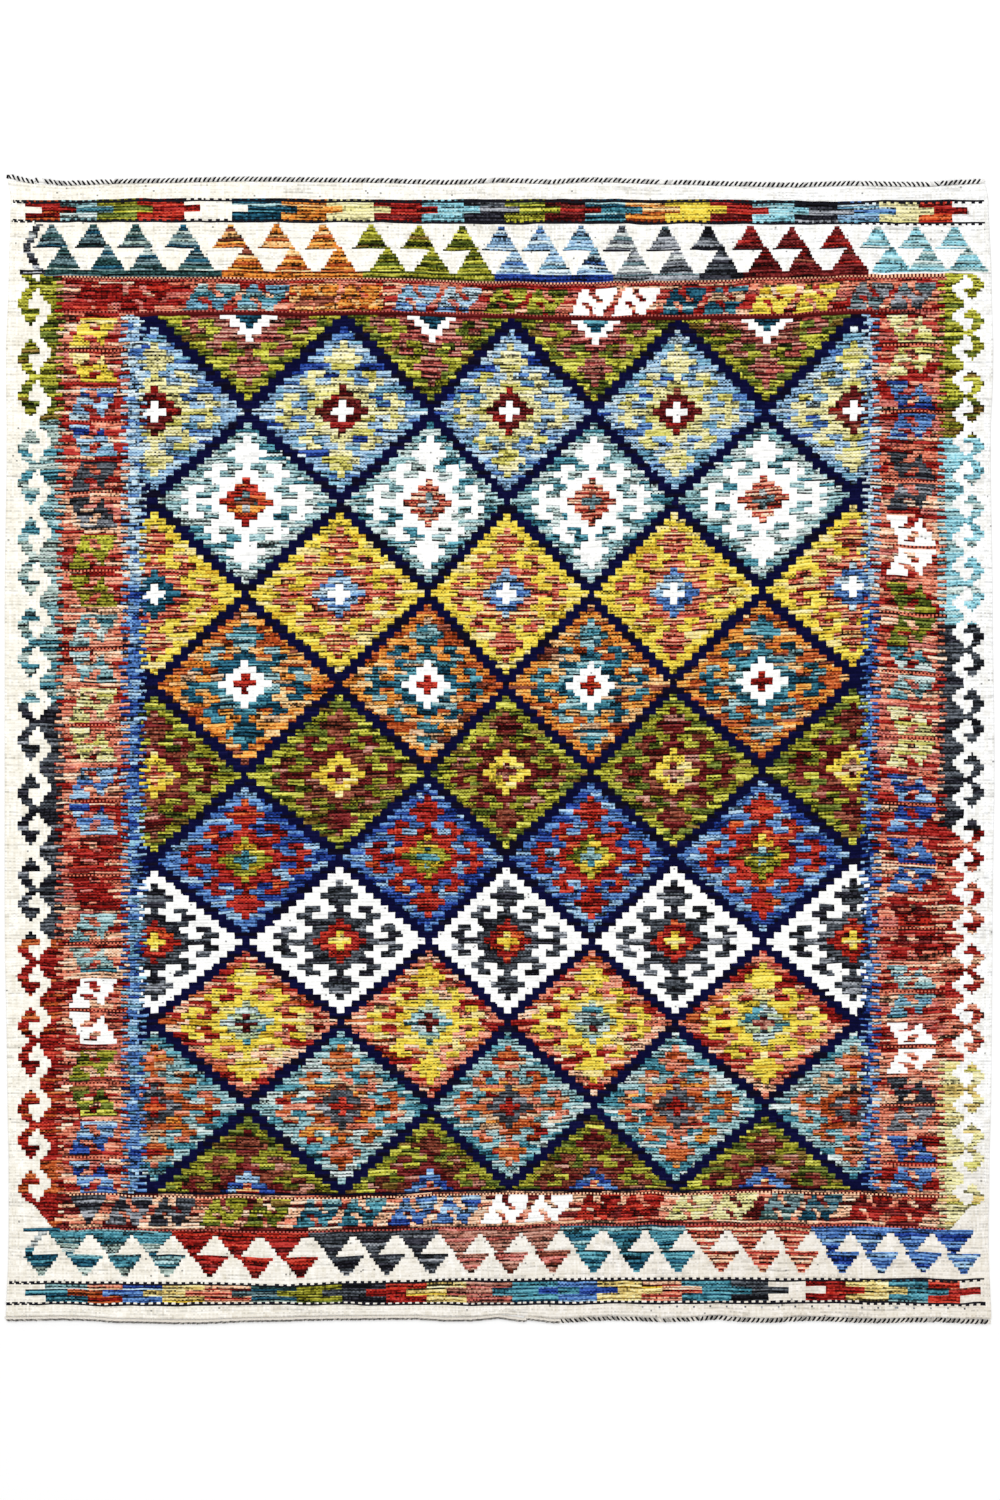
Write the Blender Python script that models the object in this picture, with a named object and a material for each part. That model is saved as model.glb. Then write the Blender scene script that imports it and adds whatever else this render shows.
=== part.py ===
"""Flat-woven kilim rug: one cloth with twined rows standing proud of it, and an overcast binding
along each end. Metres, +Z up. +X is across the cloth, +Y along its warps. The origin is on the
floor, under the middle of the rug's box."""

import math

import bmesh
import bpy
from mathutils import Vector

MM = 0.001

# Cloth
CLOTH_THICKNESS = 3.0 * MM
CELLS_ACROSS = 36
CELL_LENGTH = 62.0 * MM
RIPPLE_FADE = 160.0 * MM

# Twined rows: a pair of yarns twisted round each other, right across the cloth
TWINE_RISE = 0.8 * MM
TWINE_WIDTH = 4.4 * MM

# Overcast binding: a bundle of warp ends with yarn wrapped round it, flat underneath
BINDING_WIDTH = 8.4 * MM
BINDING_HEIGHT = 4.6 * MM
BINDING_FOOT = 1.2 * MM
BINDING_ARCH_POINTS = 7
PIECE_GAP = 0.3 * MM

# Half width of the cloth to each side of its middle line, in mm.
# height along the cloth from its middle, to the left edge, to the right edge
SIDE_EDGES = (
    (-880, 760.9, 760.9),
    (-760, 756.3, 756.3),
    (-640, 756.3, 757.8),
    (-510, 758.6, 760.9),
    (-260, 762.5, 762.5),
    (-15, 762.5, 765.5),
    (230, 762.5, 762.5),
    (480, 759.4, 759.4),
    (605, 760.9, 764.0),
    (730, 756.3, 760.9),
    (850, 753.2, 756.3),
    (880, 757.8, 751.7),
)

# Middle line of each binding, in mm: place across the cloth, distance from its middle
TOP_END = (
    (-758, 885.3),
    (-684, 876.9),
    (-563, 880.7),
    (-392, 883.7),
    (-229, 882.2),
    (-70, 878.6),
    (2, 882.2),
    (84, 879.1),
    (137, 882.8),
    (280, 878.6),
    (338, 876.9),
    (455, 874.5),
    (545, 876.9),
    (648, 875.2),
    (749, 880.7),
)
BOTTOM_END = (
    (-757, -877.6),
    (-659, -876.0),
    (-569, -880.7),
    (-478, -882.2),
    (-368, -878.7),
    (-245, -876.0),
    (-126, -875.2),
    (-59, -879.1),
    (-5, -873.5),
    (84, -880.7),
    (175, -876.0),
    (265, -879.1),
    (344, -875.2),
    (401, -880.7),
    (477, -876.9),
    (585, -880.7),
    (668, -878.7),
    (755, -882.2),
)

# Twined rows, in mm from the middle of the cloth: they part the bands at its two ends
TWINE_ROWS = (-852.8, -818.9, -738.5, -684.5, 669.0, 729.2, 819.6, 852.0)

# Colours of the finishes, linear
CLOTH_COLOUR = (0.42, 0.30, 0.22, 1.0)
BINDING_COLOUR = (0.16, 0.16, 0.18, 1.0)
YARN_ROUGHNESS = 0.9


def smooth_between(table, place, column=1):
    """The table's column at this place, eased from row to row, and held past its ends."""
    if place <= table[0][0]:
        return table[0][column]
    for low, high in zip(table, table[1:]):
        if place <= high[0]:
            share = (place - low[0]) / (high[0] - low[0])
            ease = (1 - math.cos(math.pi * share)) / 2
            return low[column] + (high[column] - low[column]) * ease
    return table[-1][column]


def binding_line(table, x):
    return smooth_between(table, x / MM) * MM


def cloth_end(table, x):
    """Where the cloth stops, a small gap inside its binding."""
    inward = BINDING_WIDTH / 2 + PIECE_GAP
    return binding_line(table, x) - math.copysign(inward, table[0][1])


def side_edge(y, column):
    return smooth_between(SIDE_EDGES, y / MM, column) * MM


def place_across(y, share):
    """The place across the cloth at this height, for a share from 0, left, to 1, right."""
    left = side_edge(y, 1)
    right = side_edge(y, 2)
    return -left + (left + right) * share


def rippled(x, y):
    """The height y along the cloth, moved with the ripple of the nearer end."""
    table = TOP_END if y > 0 else BOTTOM_END
    straight_end = cloth_end(table, 0.0)
    ripple = cloth_end(table, x) - straight_end
    fade = max(0.0, 1 - abs(straight_end - y) / RIPPLE_FADE)
    return y + ripple * fade


def cloth_rows():
    """Heights along the cloth of the rows of cells, with three rows for each twined row."""
    bottom = cloth_end(BOTTOM_END, 0.0)
    top = cloth_end(TOP_END, 0.0)
    count = round((top - bottom) / CELL_LENGTH)
    plain = [bottom + (top - bottom) * i / count for i in range(count + 1)]
    twines = [row * MM for row in TWINE_ROWS]
    kept = [y for y in plain if all(abs(y - t) > TWINE_WIDTH for t in twines)]
    ribs = [t + side * TWINE_WIDTH / 2 for t in twines for side in (-1, 0, 1)]
    return sorted(kept + ribs), twines


def make_cloth():
    """A grid laid to the cloth's outline, raised to its thickness with the underside left flat."""
    rows, twines = cloth_rows()
    bpy.ops.mesh.primitive_grid_add(
        x_subdivisions=CELLS_ACROSS, y_subdivisions=len(rows) - 1, size=1.0
    )
    cloth = bpy.context.object
    cloth.name = "kilim_cloth"

    shape = bmesh.new()
    shape.from_mesh(cloth.data)
    raised = bmesh.ops.extrude_face_region(
        shape, geom=list(shape.faces), use_keep_orig=True
    )
    for item in raised["geom"]:
        if isinstance(item, bmesh.types.BMVert):
            item.co.z = CLOTH_THICKNESS
    for vert in shape.verts:
        row = rows[round((vert.co.y + 0.5) * (len(rows) - 1))]
        x = place_across(row, vert.co.x + 0.5)
        on_twine = row in twines and vert.co.z > 0
        height = vert.co.z + (TWINE_RISE if on_twine else 0.0)
        vert.co = Vector((x, rippled(x, row), height))
    bmesh.ops.recalc_face_normals(shape, faces=shape.faces)
    shape.to_mesh(cloth.data)
    shape.free()
    return cloth


def make_binding_section():
    """The closed section that is swept along both bindings: flat below and arched above."""
    half = BINDING_WIDTH / 2
    arch = [
        (
            half * math.cos(math.pi * i / (BINDING_ARCH_POINTS - 1)),
            BINDING_FOOT
            + (BINDING_HEIGHT - BINDING_FOOT)
            * math.sin(math.pi * i / (BINDING_ARCH_POINTS - 1)),
        )
        for i in range(BINDING_ARCH_POINTS)
    ]
    outline = [(-half + BINDING_FOOT / 2, 0.0), (half - BINDING_FOOT / 2, 0.0)] + arch
    data = bpy.data.curves.new("binding_section", "CURVE")
    data.dimensions = "2D"
    spline = data.splines.new("POLY")
    spline.points.add(len(outline) - 1)
    for point, (across, up) in zip(spline.points, reversed(outline)):
        point.co = (across, up, 0.0, 1.0)
    spline.use_cyclic_u = True
    section = bpy.data.objects.new("binding_section", data)
    section.hide_render = True
    section.display_type = "WIRE"
    return section


def make_binding(name, table, section):
    """The section swept along one end of the cloth, bending where the cloth's cells do."""
    data = bpy.data.curves.new(name, "CURVE")
    data.dimensions = "3D"
    data.twist_mode = "Z_UP"
    data.bevel_mode = "OBJECT"
    data.bevel_object = section
    data.use_fill_caps = True
    spline = data.splines.new("POLY")
    spline.points.add(CELLS_ACROSS)
    for i, point in enumerate(spline.points):
        x = place_across(cloth_end(table, 0.0), i / CELLS_ACROSS)
        point.co = (x, binding_line(table, x), 0.0, 1.0)
    return bpy.data.objects.new(name, data)


def make_finish(name, colour):
    finish = bpy.data.materials.new(name)
    finish.use_nodes = True
    shader = finish.node_tree.nodes["Principled BSDF"]
    shader.inputs["Base Color"].default_value = colour
    shader.inputs["Roughness"].default_value = YARN_ROUGHNESS
    shader.inputs["Metallic"].default_value = 0.0
    return finish


def shift_to_middle(parts):
    """Moves all the parts together, so that the middle of their box is over the origin."""
    bpy.context.view_layer.update()
    graph = bpy.context.evaluated_depsgraph_get()
    corners = [
        part.matrix_world @ Vector(corner)
        for part in parts
        for corner in part.evaluated_get(graph).bound_box
    ]
    middle = Vector(
        (min(c[axis] for c in corners) + max(c[axis] for c in corners)) / 2
        for axis in range(2)
    )
    for part in parts:
        part.location.x -= middle.x
        part.location.y -= middle.y


def main():
    for old in list(bpy.data.objects):
        bpy.data.objects.remove(old, do_unlink=True)
    rug = bpy.data.collections.new("kilim_rug")
    guides = bpy.data.collections.new("guides")
    bpy.context.scene.collection.children.link(rug)
    bpy.context.scene.collection.children.link(guides)

    cloth = make_cloth()
    cloth.users_collection[0].objects.unlink(cloth)
    rug.objects.link(cloth)
    cloth.data.materials.append(make_finish("woven_wool", CLOTH_COLOUR))

    section = make_binding_section()
    guides.objects.link(section)
    parts = [cloth]
    for name, table in (
        ("end_binding_top", TOP_END),
        ("end_binding_bottom", BOTTOM_END),
    ):
        binding = make_binding(name, table, section)
        binding.data.materials.append(make_finish(name + "_yarn", BINDING_COLOUR))
        rug.objects.link(binding)
        parts.append(binding)
    shift_to_middle(parts)


main()
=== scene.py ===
"""Looks of the flat-woven kilim rug, lying face up on a pale floor and seen from straight above.

The cloth is woven here pick by pick: its cells follow the warps and picks, and each takes the yarn
that the design's chart asks for. Metres, in the frame's own axes."""

import math

import bpy
import numpy as np
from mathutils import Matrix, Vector


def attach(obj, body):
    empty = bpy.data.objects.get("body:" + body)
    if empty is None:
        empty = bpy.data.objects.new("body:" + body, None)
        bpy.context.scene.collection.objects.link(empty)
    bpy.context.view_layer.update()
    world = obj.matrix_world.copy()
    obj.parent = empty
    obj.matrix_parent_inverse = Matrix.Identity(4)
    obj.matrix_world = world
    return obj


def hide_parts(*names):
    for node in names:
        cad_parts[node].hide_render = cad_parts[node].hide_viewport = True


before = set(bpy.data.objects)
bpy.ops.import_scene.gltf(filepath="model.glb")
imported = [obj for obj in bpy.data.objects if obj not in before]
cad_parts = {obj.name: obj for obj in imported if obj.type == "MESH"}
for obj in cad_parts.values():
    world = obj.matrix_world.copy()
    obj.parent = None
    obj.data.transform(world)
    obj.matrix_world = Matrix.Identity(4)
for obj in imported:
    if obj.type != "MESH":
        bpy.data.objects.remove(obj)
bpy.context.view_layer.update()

MM = 0.001
UNIT = 1.545 * MM


def table(text):
    """Rows parted by commas, with their words and numbers parted by spaces."""
    return [tuple(float(word) if word[-1].isdigit() else word.strip(":") for word in row.split())
            for row in text.split(",")]


# ---------------------------------------------------------------- The chart
# Units of 1.545 mm, from the left and the top of a chart of 1000 by 1500, with the rug's middle
# at CHART_MIDDLE.
CHART_MIDDLE = (498.5, 751.0)

# Field: places of the lattice's crossings across and along the rug, and blocks between them
NODE_X = (154.5, 246, 340.5, 429, 507, 592, 674.5, 763, 853)
NODE_Y = (318, 412, 502, 593, 684, 773, 858, 941, 1022, 1107, 1190)
BLOCKS_ACROSS = 12
BLOCKS_DOWN = 13
DIAMOND_REACH = 11
FIELD_OVERHANG = 1.5
CELLS_PER_BLOCK = 4
HOOK_EDGES = (18, 984)
# Cells outside the field: where each stretch of them starts, or stops, and how many it has
LEFT_CELLS = ((8, 6), (18, 68))
RIGHT_CELLS = ((984, 64), (991, 5))
TOP_CELLS = ((184.5, 78),)
BOTTOM_CELLS = ((1317.5, 74),)

# A quarter of the stepped diamond, from its middle out: D cross, C ring, B medallion, A ground
QUARTER = """
    DDCCBBBBAAAA
    DCCBBAABBAA
    CCBBAABBAA
    CBBBBAAAA
    BBAABBAA
    BAABBAA
    BBAAAA
    BBBAA
    BBAA
    BAA
    AA
    A
""".split()

# Colours of each row of diamonds: ground, medallion, ring, cross
DIAMOND_ROWS = table("""
    olive brown ivory dark_teal,
    light_blue pale_yellow maroon ivory,
    pale_teal ivory salmon_stripes grey_teal,
    golden salmon blue ivory,
    orange teal_dark ivory red,
    olive maroon_brown golden maroon_pink,
    mid_blue red olive_gold teal_light,
    ivory charcoal red golden,
    salmon_brick golden sage_teal maroon_grey,
    aqua rust dark_grey red,
    olive_dark maroon_brown deep_blue salmon
""")

# Parts of single diamonds that differ from their row: (row, column, part)
ODD_PARTS = {(2, 1, "C"): "red_orange", (3, 0, "C"): "dark_teal", (5, 0, "D"): "salmon"}
# How far a block's edge may be out, in blocks, and the columns whose edges move together
EDGE_WOBBLE = 0.26
EDGE_COLUMNS = 5
FIELD_COMB = 0.9
# How far one yarn runs in the dark lines, and in the diamonds, in blocks
NAVY_LENGTH = 60
RUN_BLOCKS = 4

# Side borders: where each motif starts and stops, and its colour
LEFT_MOTIFS = table("""
    320 383 golden, 388 457 light_blue, 463 528 charcoal, 535 606 olive, 612 681 pale_teal,
    686 760 pale_yellow, 765 832 mid_blue, 835 908 dark_red, 913 972 hook_teal, 978 1043 ivory,
    1049 1117 olive, 1122 1194 mid_blue
""")
RIGHT_MOTIFS = table("""
    318 378 pale_yellow, 383 444 mid_blue, 455 516 charcoal, 521 581 ivory, 587 650 olive,
    652 705 aqua, 712 772 pale_yellow, 778 835 mid_blue, 841 895 mid_blue, 900 958 dark_red,
    965 1015 sea_blue, 1020 1072 ivory, 1078 1131 charcoal, 1136 1192 mid_blue
""")
# End borders: where each pair of motifs starts and stops, and its colour
TOP_MOTIFS = table("""
    70 170 dark_red, 182 285 sea_blue, 288 378 orange, 388 478 light_blue, 480 563 olive,
    565 655 ivory, 655 745 teal_dark, 745 838 golden, 845 935 grey
""")
BOTTOM_MOTIFS = table("""
    106 195 charcoal, 198 290 olive, 292 385 teal, 387 480 mid_blue, 480 570 ivory, 572 663 red,
    665 755 pale_yellow, 757 842 slate_teal, 845 935 dark_red
""")
# A motif of the side borders, and its upside-down twin below or above it
SIDE_MOTIF = """
    ...WWWWWWWWW
    ...W...WWWWW
    ...WW..WWWW.
    ..WWW...WWW.
    ..WWWW..WWW.
    ..WWWWWWWW..
    .WW...WWWW..
    .WWW...WW...
    .WWWW..WW...
    WWWWW...W...
    WWWWW.......
""".split()
# A motif of the end borders: they lean over each other, side by side
END_MOTIF = """
    ....WW..WWWWWW
    ...WWW..WWWWWW
    ...WWWW..WWWW.
    ..WWWWWW..WWW.
    ..WW..WWWWWW..
    .WWWW..WWWW...
    .WWWWW.WWW....
    WWWWWW..WW....
""".split()
END_MOTIF_LEAN = 4.5
MOTIF_GAP = 5.0
# The twined line between two of a pair: how far down their gap, and how far it runs out
GAP_SHARE = 0.4
BEADS_LEFT, BEADS_RIGHT = 6, 9
# Each border: its motifs, the columns or rows that they fill, and whether the first is turned over
SIDE_BORDERS = ((LEFT_MOTIFS, 69.3, 116.7, False), (RIGHT_MOTIFS, 886.5, 935.0, True))
END_BORDERS = ((TOP_MOTIFS, 285, 314), (BOTTOM_MOTIFS, 1196, 1224))

# Finishes of the side borders' ground and of the blue strips, down to the heights given
LEFT_GROUND = table("""
    490 red_ground, 800 salmon_ground, 930 red_ground, 990 salmon_ground, 1035 red_ground,
    1230 salmon_ground
""")
RIGHT_GROUND = table("""
    500 red_ground, 640 salmon_ground, 865 red_ground, 910 salmon_ground, 1040 red_ground,
    1230 salmon_ground
""")
LEFT_STRIP = table("590 pale_strip, 790 mid_strip, 1193 mixed_strip")
RIGHT_STRIP = table("600 pale_strip, 1193 mid_strip")
STRIP_TOP = 316
STRIP_COLUMNS = (100, 500, 900)
STRIP_LENGTH = 12
# The ground of the borders: the four edges of its sides, with how far colours reach over them
GROUND_TOP = 278
GROUND_EDGES = ((60, 7, 31), (125, 7, 32), (875.5, 8, 33), (941.5, 7, 34))
TOP_GROUND_ROWS = (278, 316.5)
BOTTOM_GROUND_ROWS = (1191.5, 1230)
ORANGE_COLUMNS = (286, 380)
# A patch of one yarn: its length, its height, and the step from zone to zone
GROUND_PATCH = (34, 36, 40)

# Hooks: heights of their stems, and the chart of one from its stem's middle to halfway to the next
LEFT_STEMS = (195, 287, 379, 466, 558, 640, 722, 806, 888, 962, 1041, 1125, 1205, 1290)
RIGHT_STEMS = (217, 277, 336, 398, 460, 524, 587, 653, 719, 782, 848, 909, 969, 1026, 1089, 1147,
               1207, 1265)
HOOK = """
    ...WWWWWWWWW
    ..WWW.WWWWWW
    .WWW..WWWWWW
    .WWW...WWWWW
    WWW....WWWWW
    WWW.....WWWW
    WWW......WWW
    .WWWWW...WWW
    .WWWWW...WWW
    ..WWW...WWWW
    ..WWW...WWWW
    ...W...WWWWW
    ......WWWWWW
    ......WWWWWW
""".split()
HOOKS_TOP = 277
HOOKS_BOTTOM = 1229
LAST_STEM = 1203
# Where a hook's last column stops, in lengths of the chart, and the slope that ends the column
HOOK_OVERRUN = 1.15
SLOPE_START, SLOPE_REACH = 0.3, 0.5
LEFT_HOOK_COLOURS = table("421 olive, 702 hook_teal, 938 charcoal, 1240 rust_red")
RIGHT_HOOK_COLOURS = table("440 olive, 628 cyan, 830 deep_charcoal, 1062 hook_red, 1240 hook_gold")
# Each column of hooks: its stems, the rug's edge, how far in the hooks reach, and their colours
HOOK_COLUMNS = (
    (LEFT_STEMS, 18.6, 63, LEFT_HOOK_COLOURS), (RIGHT_STEMS, 984, 942, RIGHT_HOOK_COLOURS),
)

# Triangles: their colour, and the places of their tips
TOP_UPPER_TRIANGLES = table("""
    slate_teal 52 93 136 182, orange 228 273 319, olive 367 415 458, light_blue 497 536 577,
    grey 618 661, charcoal 704, maroon 746 788 835, cyan 877 916 954
""")
TOP_LOWER_TRIANGLES = table("""
    slate_teal 64 108 148 195, orange 243 289 335, olive 384 428 470, light_blue 510 550 590,
    grey 630 672, charcoal 717, maroon 761 802 848, cyan 891 928 968
""")
BOTTOM_UPPER_TRIANGLES = table("""
    teal 69 112 152, dark_red 193 236 282, charcoal 331 373 416, brown_rose 458 499 539,
    teal 579 623 664, salmon_stripes 704 747 790, mid_blue 831 869 912 953
""")
BOTTOM_LOWER_TRIANGLES = table("""
    teal 42 85 125 167, dark_red 209 254 299, charcoal 345 386 430, brown_rose 470 509 551,
    teal 592 635 676, salmon_stripes 720 761 801, mid_blue 842 881 923 963
""")
LONE_TRIANGLE = (("charcoal", 89),)
HALF_DIAMONDS = (("dark_teal", *NODE_X[1::2]),)
# Each row of triangles: the heights of its bases and tips, how wide a base is, how many steps a
# triangle has, and the number of its first zone
TRIANGLE_ROWS = (
    (HALF_DIAMONDS, 316, 331, 24, 3, 1060), (LONE_TRIANGLE, 1196, 1224, 34, 8, 1080),
    (TOP_UPPER_TRIANGLES, 250, 225, 31, 7, 1700), (TOP_LOWER_TRIANGLES, 275, 247.5, 38, 8, 1750),
    (BOTTOM_UPPER_TRIANGLES, 1231, 1255, 40, 7, 1800),
    (BOTTOM_LOWER_TRIANGLES, 1253.5, 1275, 33, 6, 1850),
)
# Half a tip's width, what each step has over, and the line under a base: how far it starts to the
# left of the base, how far it stops short at the right, and its height
TIP_HALF, STEP_SPARE = 2.6, 0.6
LINE_OUT, LINE_IN, LINE_HEIGHT = 3, 1, 1.7
DARK_LINED = ("slate_teal", "charcoal", "grey", "maroon")
# Strips that join the bases of a row: their top and bottom, and the number of the first zone
BASE_STRIPS = (
    (TOP_LOWER_TRIANGLES[:-1], 272, 278, 1900), (BOTTOM_UPPER_TRIANGLES, 1230, 1235, 1950),
)
BASE_STRIP_END = 20
# Rows of the teal triangles that are sage, and how far across the rug
SAGE_ROWS = ((1243.5, 1252.5, 1860), (1265.5, 1278, 1870))
SAGE_REACH = 190

# Bars: where each ends, and its colour. The middle third of a row has slipped along
TOP_BARS_ROW = (200, 221.5, 16.0)
BOTTOM_BARS_ROW = (1281, 1302.5, 20.0)
BOTTOM_SLIP_TURN = 557
TOP_BARS = table("""
    26 undyed, 60 rust_red, 98 pale_teal, 137 olive, 183 red_salmon, 229 undyed, 277 teal_dark,
    323 clear_orange, 370 pale_gold, 418 dark_red, 460 cyan, 500 charcoal, 540 olive, 582 maroon,
    622 teal_dark, 660 clear_orange, 706 golden, 749 dark_red, 791 cyan, 837 charcoal,
    880 light_blue, 918 pale_gold, 952 red, 1000 undyed
""")
BOTTOM_BARS = table("""
    45 undyed, 87 teal, 123 rust, 163 mid_blue, 205 wheat, 250 salmon_stripes, 295 slate_teal,
    340 olive, 384 charcoal, 425 dark_red, 465 wheat, 511 brown_rose, 557 teal, 596 mid_blue,
    640 wheat, 680 salmon_stripes, 730 teal, 767 charcoal, 804 undyed, 845 red, 888 wheat,
    928 teal, 960 red_salmon, 1000 undyed
""")

# Stepped stems in the corners: their turns, half their width, their colour and zone
STEM_STEP = 5.3
STEMS = (
    (((39.5, 226), (26, 248.5), (39, 272)), 3.9, "charcoal", 2000),
    (((33.5, 234.5), (29.5, 241)), 3.8, "pale_grey", 2010),
    (((44, 1231), (30, 1249)), 3.9, "pale_grey", 2030),
    (((30, 1246), (28, 1257)), 4.2, "teal", 2031),
)
# Twined lines: top, left end and right end, and for beads also the number of rows
ROPES = ((200, 12, 984), (221.5, 9, 985), (1281, 9, 984), (1303, 8, 986))
ROPE_TURN = 860
ROPE_ENDS = (34, 984)
# Columns of a rope's run, how far runs may slip, and columns of a beat and of its dash
ROPE_RUN, ROPE_SLIPS, ROPE_BEAT, ROPE_DASH, FREE_DASH = 35, 3, 4, 2, 3
BEAD_LINES = (
    (279.5, 62, 944, 2), (277, 868, 944, 1), (314.5, 62, 944, 1), (1193.5, 70, 944, 1),
    (1228.2, 62, 944, 1),
)
# Short runs of one colour: left, top, right, bottom, colour and zone
BOXES = (
    (19, 271.3, 46, 276.6, "charcoal", 2020), (23, 272.8, 41, 275.2, "grey", 2021),
    (36, 248.0, 62, 250.2, "black_bead", 0), (23, 1228.6, 60, 1231, "dark_teal", 2032),
    (134, 315, 876, 318, "dark_line", 0), (134, 1190, 876, 1192, "dark_line", 0),
)
# Specks: their line's start, stop and pitch, and their width, top and bottom
SPECK_LINE = (640, 980, 17)
SPECK_SIZE = (2, 1306.5, 1308.2)

# How far each of these rows of weaving wanders up or down, at these places across the rug
WANDER_X = (50, 170, 290, 390, 490, 590, 690, 790, 870, 940)
WANDER_ROWS = table("""
    200 0 -1 -1 0 0 0 0 1 1 0,
    221 -1.5 -1 -0.5 -0.5 0.5 1 0.5 1 1.5 1.5,
    280 -2.5 -1 0 0 3 4 2 -1 -3 -3,
    316 -1.5 -1.5 -2 -3 1 3 2 0.5 -4 -3.5,
    412 0 0 0 0 0 0 0 0 -1 -1,
    502 -1 -1 0.5 1 1 0 -1 -4 -7 -3,
    593 2 2 2 0 0 1 0 -4 -7 -3,
    684 2 2 0 0 2 2 0 -3 -7 -3,
    773 3 3 3 1 0 0.5 -1 -4 -5 -2,
    858 4 4 1 -1 0 0 -0.5 -2 -4 -2,
    941 1 1 1 0 0 0 0 0 0 0,
    1022 0 0 0 0 0 0 1 1 2 1,
    1107 0 0 0 1 0 -1 0 0 0 0,
    1195 -1 1.5 4 2 -1 -0.5 -1 -2 -1 2,
    1227 -1 1 2.4 0.5 -1.5 -5 -5 -5 -3.8 -0.5,
    1281 1 1.5 4 0 -1.6 -2.5 -2.5 -2.2 -1.8 -1.5,
    1302 0 0 0 0 0 -1.5 -1.5 -1.5 -1 0
""")

# How far the warps of the field have drifted to the right, down the rug, and where across it
DRIFT = ((318, 4), (412, 2), (502, 0), (640, -1.5), (850, -1), (1022, 0.5), (1107, 2), (1190, 1.5))
DRIFT_REACH = ((150, 0), (250, 1), (770, 1), (880, 0))

# Yarns, in sRGB from 0 to 255
YARNS = {name: rgb for name, *rgb in table("""
    ivory 248 248 246, cream 249 245 233, oatmeal 232 225 213, navy 3 4 46, navy_black 6 3 24,
    light_blue 138 180 218, pale_blue 192 218 228, mid_blue 66 108 178, deep_blue 22 48 130,
    sea_blue 95 150 180, pale_yellow 236 228 152, straw 206 198 92, pale_gold 240 232 170,
    golden 242 212 66, ochre 214 168 38, sand 248 226 140, wheat 226 196 112, maroon 82 12 12,
    dark_red 134 16 12, red 178 35 22, red_orange 206 72 30, salmon 226 118 90, peach 250 192 152,
    rose 192 92 82, rust 172 66 24, brown 112 48 32, brown_rose 172 108 90, tan 206 160 120,
    orange 232 132 46, pale_orange 248 184 112, olive 140 138 32, moss 74 86 22, lime 190 188 54,
    brown_olive 100 74 24, dark_teal 14 62 84, teal 52 116 134, light_teal 132 178 182,
    pale_teal 196 218 212, cyan 140 210 226, slate 84 112 118, sage 178 196 142, grey 124 129 137,
    pale_grey 186 194 192, bottle 30 62 62, sage_grey 158 182 172, charcoal 54 59 66,
    black 20 20 28
""")}
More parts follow.
